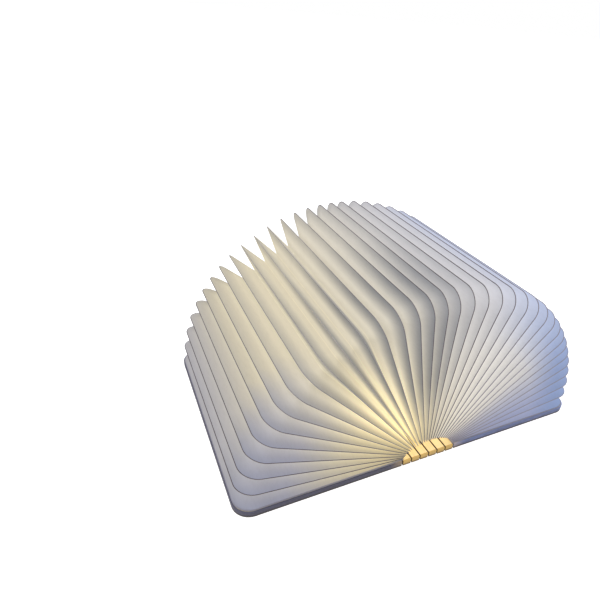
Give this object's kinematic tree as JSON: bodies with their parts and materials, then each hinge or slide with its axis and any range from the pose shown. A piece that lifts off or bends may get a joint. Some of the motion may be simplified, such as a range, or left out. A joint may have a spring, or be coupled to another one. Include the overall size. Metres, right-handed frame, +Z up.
{
  "type": "folding book lamp",
  "caption": "Book-shaped rechargeable lamp with two plywood covers, a living-hinge spine and a pleated paper bellows that fans open around a light bar.",
  "frame": {"origin": "middle of the spine, on the surface that the open covers lie on", "axes": "+X to the back cover, +Y to the head of the book, +Z up out of the open book"},
  "size_m": [0.192, 0.122, 0.0916],
  "materials": {
    "birch_ply": "laser-cut bare plywood, satin",
    "spun_paper": "matte spun-bonded paper",
    "white_plastic": "moulded, matte",
    "black_foam": "closed-cell foam tape",
    "white_board": "white solder mask",
    "green_board": "green solder mask",
    "light_chip": "phosphor resin in a white package",
    "black_chip": "moulded package",
    "cell_foil": "laminated foil pouch",
    "socket_steel": "tinned sheet",
    "magnet_nickel": "nickel plated",
    "lead_sleeve": "silicone sleeve"
  },
  "bodies": {
    "spine": {"spine_mid_3": "birch_ply", "foam_pad": "black_foam", "light_tray": "white_plastic", "pouch_cell": "cell_foil", "charge_board": "green_board", "charge_socket": "socket_steel", "light_board": "white_board", "light_chips": "light_chip", "lid_sensor": "black_chip", "cell_leads": "lead_sleeve", "leaf_17": "spun_paper", "paper_folds": "spun_paper"},
    "spine_mid_1": {"spine_mid_1": "birch_ply"},
    "spine_mid_2": {"spine_mid_2": "birch_ply"},
    "spine_mid_4": {"spine_mid_4": "birch_ply"},
    "spine_mid_5": {"spine_mid_5": "birch_ply"},
    "spine_end_1": {"spine_end_1": "birch_ply"},
    "spine_end_2": {"spine_end_2": "birch_ply"},
    "spine_end_3": {"spine_end_3": "birch_ply"},
    "spine_end_4": {"spine_end_4": "birch_ply"},
    "spine_end_5": {"spine_end_5": "birch_ply"},
    "spine_end_6": {"spine_end_6": "birch_ply"},
    "front_cover": {"front_cover": "birch_ply", "front_magnets": "magnet_nickel"},
    "back_cover": {"back_cover": "birch_ply", "back_magnets": "magnet_nickel"},
    "front_end_sheet": {"front_end_sheet": "spun_paper"},
    "back_end_sheet": {"back_end_sheet": "spun_paper"},
    "leaf_01": {"leaf_01": "spun_paper"},
    "leaf_02": {"leaf_02": "spun_paper"},
    "leaf_03": {"leaf_03": "spun_paper"},
    "leaf_04": {"leaf_04": "spun_paper"},
    "leaf_05": {"leaf_05": "spun_paper"},
    "leaf_06": {"leaf_06": "spun_paper"},
    "leaf_07": {"leaf_07": "spun_paper"},
    "leaf_08": {"leaf_08": "spun_paper"},
    "leaf_09": {"leaf_09": "spun_paper"},
    "leaf_10": {"leaf_10": "spun_paper"},
    "leaf_11": {"leaf_11": "spun_paper"},
    "leaf_12": {"leaf_12": "spun_paper"},
    "leaf_13": {"leaf_13": "spun_paper"},
    "leaf_14": {"leaf_14": "spun_paper"},
    "leaf_15": {"leaf_15": "spun_paper"},
    "leaf_16": {"leaf_16": "spun_paper"},
    "leaf_18": {"leaf_18": "spun_paper"},
    "leaf_19": {"leaf_19": "spun_paper"},
    "leaf_20": {"leaf_20": "spun_paper"},
    "leaf_21": {"leaf_21": "spun_paper"},
    "leaf_22": {"leaf_22": "spun_paper"},
    "leaf_23": {"leaf_23": "spun_paper"},
    "leaf_24": {"leaf_24": "spun_paper"},
    "leaf_25": {"leaf_25": "spun_paper"},
    "leaf_26": {"leaf_26": "spun_paper"},
    "leaf_27": {"leaf_27": "spun_paper"},
    "leaf_28": {"leaf_28": "spun_paper"},
    "leaf_29": {"leaf_29": "spun_paper"},
    "leaf_30": {"leaf_30": "spun_paper"},
    "leaf_31": {"leaf_31": "spun_paper"},
    "leaf_32": {"leaf_32": "spun_paper"},
    "leaf_33": {"leaf_33": "spun_paper"}
  },
  "joints": [
    {"name": "slat_06_twist", "type": "hinge", "parent": "spine", "child": "spine_end_3", "pos_m": [-0.00125, 0, 0.0015], "axis": [0, 1, 0], "range_deg": [-15, 15]},
    {"name": "slat_05_twist", "type": "hinge", "parent": "spine_end_3", "child": "spine_mid_2", "pos_m": [-0.00375, 0, 0.0015], "axis": [0, 1, 0], "range_deg": [-15, 15]},
    {"name": "slat_04_twist", "type": "hinge", "parent": "spine_mid_2", "child": "spine_end_2", "pos_m": [-0.00625, 0, 0.0015], "axis": [0, 1, 0], "range_deg": [-15, 15]},
    {"name": "slat_03_twist", "type": "hinge", "parent": "spine_end_2", "child": "spine_mid_1", "pos_m": [-0.00875, 0, 0.0015], "axis": [0, 1, 0], "range_deg": [-15, 15]},
    {"name": "slat_02_twist", "type": "hinge", "parent": "spine_mid_1", "child": "spine_end_1", "pos_m": [-0.01125, 0, 0.0015], "axis": [0, 1, 0], "range_deg": [-15, 15]},
    {"name": "slat_01_twist", "type": "hinge", "parent": "spine_end_1", "child": "front_cover", "pos_m": [-0.01375, 0, 0.0015], "axis": [0, 1, 0], "range_deg": [-15, 15]},
    {"name": "slat_07_twist", "type": "hinge", "parent": "spine", "child": "spine_end_4", "pos_m": [0.00125, 0, 0.0015], "axis": [0, -1, 0], "range_deg": [-15, 15]},
    {"name": "slat_08_twist", "type": "hinge", "parent": "spine_end_4", "child": "spine_mid_4", "pos_m": [0.00375, 0, 0.0015], "axis": [0, -1, 0], "range_deg": [-15, 15]},
    {"name": "slat_09_twist", "type": "hinge", "parent": "spine_mid_4", "child": "spine_end_5", "pos_m": [0.00625, 0, 0.0015], "axis": [0, -1, 0], "range_deg": [-15, 15]},
    {"name": "slat_10_twist", "type": "hinge", "parent": "spine_end_5", "child": "spine_mid_5", "pos_m": [0.00875, 0, 0.0015], "axis": [0, -1, 0], "range_deg": [-15, 15]},
    {"name": "slat_11_twist", "type": "hinge", "parent": "spine_mid_5", "child": "spine_end_6", "pos_m": [0.01125, 0, 0.0015], "axis": [0, -1, 0], "range_deg": [-15, 15]},
    {"name": "slat_12_twist", "type": "hinge", "parent": "spine_end_6", "child": "back_cover", "pos_m": [0.01375, 0, 0.0015], "axis": [0, -1, 0], "range_deg": [-15, 15]},
    {"name": "fold_17", "type": "hinge", "parent": "spine", "child": "leaf_16", "pos_m": [-0.00033, 0, 0.0015], "axis": [0, 1, 0], "range_deg": [-3.9, 3.9]},
    {"name": "fold_16", "type": "hinge", "parent": "leaf_16", "child": "leaf_15", "pos_m": [-0.00099, 0, 0.0015], "axis": [0, 1, 0], "range_deg": [-4.09, 4.09]},
    {"name": "fold_15", "type": "hinge", "parent": "leaf_15", "child": "leaf_14", "pos_m": [-0.0017, 0, 0.0015], "axis": [0, 1, 0], "range_deg": [-4.42, 4.42]},
    {"name": "fold_14", "type": "hinge", "parent": "leaf_14", "child": "leaf_13", "pos_m": [-0.00247, 0, 0.0015], "axis": [0, 1, 0], "range_deg": [-4.8, 4.8]},
    {"name": "fold_13", "type": "hinge", "parent": "leaf_13", "child": "leaf_12", "pos_m": [-0.0033, 0, 0.0015], "axis": [0, 1, 0], "range_deg": [-5.15, 5.15]},
    {"name": "fold_12", "type": "hinge", "parent": "leaf_12", "child": "leaf_11", "pos_m": [-0.00417, 0, 0.0015], "axis": [0, 1, 0], "range_deg": [-5.38, 5.38]},
    {"name": "fold_11", "type": "hinge", "parent": "leaf_11", "child": "leaf_10", "pos_m": [-0.00508, 0, 0.0015], "axis": [0, 1, 0], "range_deg": [-5.47, 5.47]},
    {"name": "fold_10", "type": "hinge", "parent": "leaf_10", "child": "leaf_09", "pos_m": [-0.00599, 0, 0.0015], "axis": [0, 1, 0], "range_deg": [-5.42, 5.42]},
    {"name": "fold_09", "type": "hinge", "parent": "leaf_09", "child": "leaf_08", "pos_m": [-0.00688, 0, 0.0015], "axis": [0, 1, 0], "range_deg": [-5.29, 5.29]},
    {"name": "fold_08", "type": "hinge", "parent": "leaf_08", "child": "leaf_07", "pos_m": [-0.00775, 0, 0.0015], "axis": [0, 1, 0], "range_deg": [-5.17, 5.17]},
    {"name": "fold_07", "type": "hinge", "parent": "leaf_07", "child": "leaf_06", "pos_m": [-0.00861, 0, 0.0015], "axis": [0, 1, 0], "range_deg": [-5.12, 5.12]},
    {"name": "fold_06", "type": "hinge", "parent": "leaf_06", "child": "leaf_05", "pos_m": [-0.00947, 0, 0.0015], "axis": [0, 1, 0], "range_deg": [-5.21, 5.21]},
    {"name": "fold_05", "type": "hinge", "parent": "leaf_05", "child": "leaf_04", "pos_m": [-0.01036, 0, 0.0015], "axis": [0, 1, 0], "range_deg": [-5.44, 5.44]},
    {"name": "fold_04", "type": "hinge", "parent": "leaf_04", "child": "leaf_03", "pos_m": [-0.01129, 0, 0.0015], "axis": [0, 1, 0], "range_deg": [-5.79, 5.79]},
    {"name": "fold_03", "type": "hinge", "parent": "leaf_03", "child": "leaf_02", "pos_m": [-0.01229, 0, 0.0015], "axis": [0, 1, 0], "range_deg": [-6.17, 6.17]},
    {"name": "fold_02", "type": "hinge", "parent": "leaf_02", "child": "leaf_01", "pos_m": [-0.01334, 0, 0.0015], "axis": [0, 1, 0], "range_deg": [-6.5, 6.5]},
    {"name": "fold_01", "type": "hinge", "parent": "leaf_01", "child": "front_end_sheet", "pos_m": [-0.01444, 0, 0.0015], "axis": [0, 1, 0], "range_deg": [-6.68, 6.68]},
    {"name": "fold_18", "type": "hinge", "parent": "spine", "child": "leaf_18", "pos_m": [0.00039, 0, 0.0015], "axis": [0, -1, 0], "range_deg": [-4.68, 4.68], "deforming": ["paper_folds"]},
    {"name": "fold_19", "type": "hinge", "parent": "leaf_18", "child": "leaf_19", "pos_m": [0.00118, 0, 0.0015], "axis": [0, -1, 0], "range_deg": [-4.84, 4.84]},
    {"name": "fold_20", "type": "hinge", "parent": "leaf_19", "child": "leaf_20", "pos_m": [0.00201, 0, 0.0015], "axis": [0, -1, 0], "range_deg": [-5.11, 5.11]},
    {"name": "fold_21", "type": "hinge", "parent": "leaf_20", "child": "leaf_21", "pos_m": [0.00289, 0, 0.0015], "axis": [0, -1, 0], "range_deg": [-5.42, 5.42]},
    {"name": "fold_22", "type": "hinge", "parent": "leaf_21", "child": "leaf_22", "pos_m": [0.00381, 0, 0.0015], "axis": [0, -1, 0], "range_deg": [-5.67, 5.67]},
    {"name": "fold_23", "type": "hinge", "parent": "leaf_22", "child": "leaf_23", "pos_m": [0.00477, 0, 0.0015], "axis": [0, -1, 0], "range_deg": [-5.79, 5.79]},
    {"name": "fold_24", "type": "hinge", "parent": "leaf_23", "child": "leaf_24", "pos_m": [0.00573, 0, 0.0015], "axis": [0, -1, 0], "range_deg": [-5.75, 5.75]},
    {"name": "fold_25", "type": "hinge", "parent": "leaf_24", "child": "leaf_25", "pos_m": [0.00667, 0, 0.0015], "axis": [0, -1, 0], "range_deg": [-5.57, 5.57]},
    {"name": "fold_26", "type": "hinge", "parent": "leaf_25", "child": "leaf_26", "pos_m": [0.00758, 0, 0.0015], "axis": [0, -1, 0], "range_deg": [-5.29, 5.29]},
    {"name": "fold_27", "type": "hinge", "parent": "leaf_26", "child": "leaf_27", "pos_m": [0.00844, 0, 0.0015], "axis": [0, -1, 0], "range_deg": [-5.02, 5.02]},
    {"name": "fold_28", "type": "hinge", "parent": "leaf_27", "child": "leaf_28", "pos_m": [0.00926, 0, 0.0015], "axis": [0, -1, 0], "range_deg": [-4.84, 4.84]},
    {"name": "fold_29", "type": "hinge", "parent": "leaf_28", "child": "leaf_29", "pos_m": [0.01006, 0, 0.0015], "axis": [0, -1, 0], "range_deg": [-4.8, 4.8]},
    {"name": "fold_30", "type": "hinge", "parent": "leaf_29", "child": "leaf_30", "pos_m": [0.01087, 0, 0.0015], "axis": [0, -1, 0], "range_deg": [-4.92, 4.92]},
    {"name": "fold_31", "type": "hinge", "parent": "leaf_30", "child": "leaf_31", "pos_m": [0.01171, 0, 0.0015], "axis": [0, -1, 0], "range_deg": [-5.17, 5.17]},
    {"name": "fold_32", "type": "hinge", "parent": "leaf_31", "child": "leaf_32", "pos_m": [0.0126, 0, 0.0015], "axis": [0, -1, 0], "range_deg": [-5.48, 5.48]},
    {"name": "fold_33", "type": "hinge", "parent": "leaf_32", "child": "leaf_33", "pos_m": [0.01354, 0, 0.0015], "axis": [0, -1, 0], "range_deg": [-5.75, 5.75]},
    {"name": "fold_34", "type": "hinge", "parent": "leaf_33", "child": "back_end_sheet", "pos_m": [0.01451, 0, 0.0015], "axis": [0, -1, 0], "range_deg": [-5.91, 5.91]}
  ],
  "couplings": [
    {"joint": "slat_06_twist", "follows": "fold_18", "ratio": 3.208},
    {"joint": "slat_07_twist", "follows": "fold_18", "ratio": 3.208},
    {"joint": "slat_05_twist", "follows": "fold_18", "ratio": 3.208},
    {"joint": "slat_08_twist", "follows": "fold_18", "ratio": 3.208},
    {"joint": "slat_04_twist", "follows": "fold_18", "ratio": 3.208},
    {"joint": "slat_09_twist", "follows": "fold_18", "ratio": 3.208},
    {"joint": "slat_03_twist", "follows": "fold_18", "ratio": 3.208},
    {"joint": "slat_10_twist", "follows": "fold_18", "ratio": 3.208},
    {"joint": "slat_02_twist", "follows": "fold_18", "ratio": 3.208},
    {"joint": "slat_11_twist", "follows": "fold_18", "ratio": 3.208},
    {"joint": "slat_01_twist", "follows": "fold_18", "ratio": 3.208},
    {"joint": "slat_12_twist", "follows": "fold_18", "ratio": 3.208},
    {"joint": "fold_17", "follows": "fold_18", "ratio": 0.83495},
    {"joint": "fold_16", "follows": "fold_18", "ratio": 0.87497},
    {"joint": "fold_15", "follows": "fold_18", "ratio": 0.94468},
    {"joint": "fold_14", "follows": "fold_18", "ratio": 1.0265},
    {"joint": "fold_13", "follows": "fold_18", "ratio": 1.1007},
    {"joint": "fold_12", "follows": "fold_18", "ratio": 1.1511},
    {"joint": "fold_11", "follows": "fold_18", "ratio": 1.17},
    {"joint": "fold_10", "follows": "fold_18", "ratio": 1.1598},
    {"joint": "fold_09", "follows": "fold_18", "ratio": 1.1322},
    {"joint": "fold_08", "follows": "fold_18", "ratio": 1.1047},
    {"joint": "fold_07", "follows": "fold_18", "ratio": 1.0945},
    {"joint": "fold_06", "follows": "fold_18", "ratio": 1.1133},
    {"joint": "fold_05", "follows": "fold_18", "ratio": 1.1638},
    {"joint": "fold_04", "follows": "fold_18", "ratio": 1.238},
    {"joint": "fold_03", "follows": "fold_18", "ratio": 1.3198},
    {"joint": "fold_02", "follows": "fold_18", "ratio": 1.3895},
    {"joint": "fold_01", "follows": "fold_18", "ratio": 1.4295},
    {"joint": "fold_19", "follows": "fold_18", "ratio": 1.0344},
    {"joint": "fold_20", "follows": "fold_18", "ratio": 1.0931},
    {"joint": "fold_21", "follows": "fold_18", "ratio": 1.1588},
    {"joint": "fold_22", "follows": "fold_18", "ratio": 1.2124},
    {"joint": "fold_23", "follows": "fold_18", "ratio": 1.2384},
    {"joint": "fold_24", "follows": "fold_18", "ratio": 1.2299},
    {"joint": "fold_25", "follows": "fold_18", "ratio": 1.1902},
    {"joint": "fold_26", "follows": "fold_18", "ratio": 1.1322},
    {"joint": "fold_27", "follows": "fold_18", "ratio": 1.0742},
    {"joint": "fold_28", "follows": "fold_18", "ratio": 1.0346},
    {"joint": "fold_29", "follows": "fold_18", "ratio": 1.0261},
    {"joint": "fold_30", "follows": "fold_18", "ratio": 1.0521},
    {"joint": "fold_31", "follows": "fold_18", "ratio": 1.1057},
    {"joint": "fold_32", "follows": "fold_18", "ratio": 1.1714},
    {"joint": "fold_33", "follows": "fold_18", "ratio": 1.2301},
    {"joint": "fold_34", "follows": "fold_18", "ratio": 1.2645}
  ]
}
